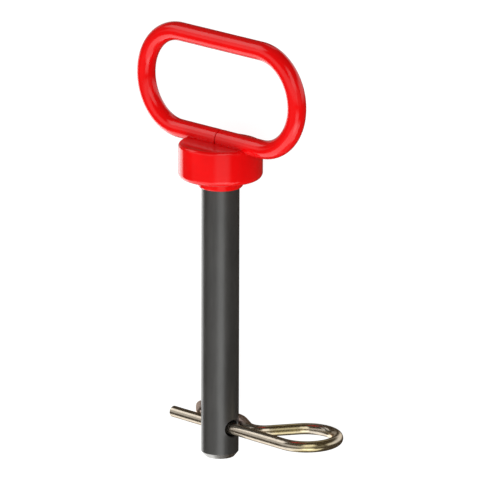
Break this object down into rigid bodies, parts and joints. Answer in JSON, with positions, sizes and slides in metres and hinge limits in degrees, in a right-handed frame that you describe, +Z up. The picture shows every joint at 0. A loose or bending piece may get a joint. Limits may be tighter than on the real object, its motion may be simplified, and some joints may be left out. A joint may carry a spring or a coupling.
{
  "type": "clevis pin with handle and hair-pin clip",
  "caption": "Steel clevis pin with a red collar and a red loop handle, kept in its clevis or drawbar by a hair-pin clip pushed through the cross hole near its tip.",
  "frame": {"origin": "on the surface that the part lies on, under the middle of its box", "axes": "+Z up, +X along the shank from the tip towards the handle, -Y towards the clip's eye"},
  "size_m": [0.1826, 0.1031, 0.0355],
  "materials": {
    "pin_shank": "dark grey satin, oiled and hardened",
    "head_collar": "glossy red coat",
    "handle_rod": "glossy red coat",
    "hair_pin_clip": "bright yellow zinc plate"
  },
  "bodies": {
    "pin": {"pin_shank": "pin_shank", "head_collar": "head_collar", "handle_rod": "handle_rod"},
    "clip": {"hair_pin_clip": "hair_pin_clip"}
  },
  "joints": [
    {"name": "clip_pull", "type": "slide", "parent": "pin", "child": "clip", "axis": [0.005, -0.9792, 0.2027], "range_m": [0, 0.05], "deforming": ["hair_pin_clip"]}
  ]
}
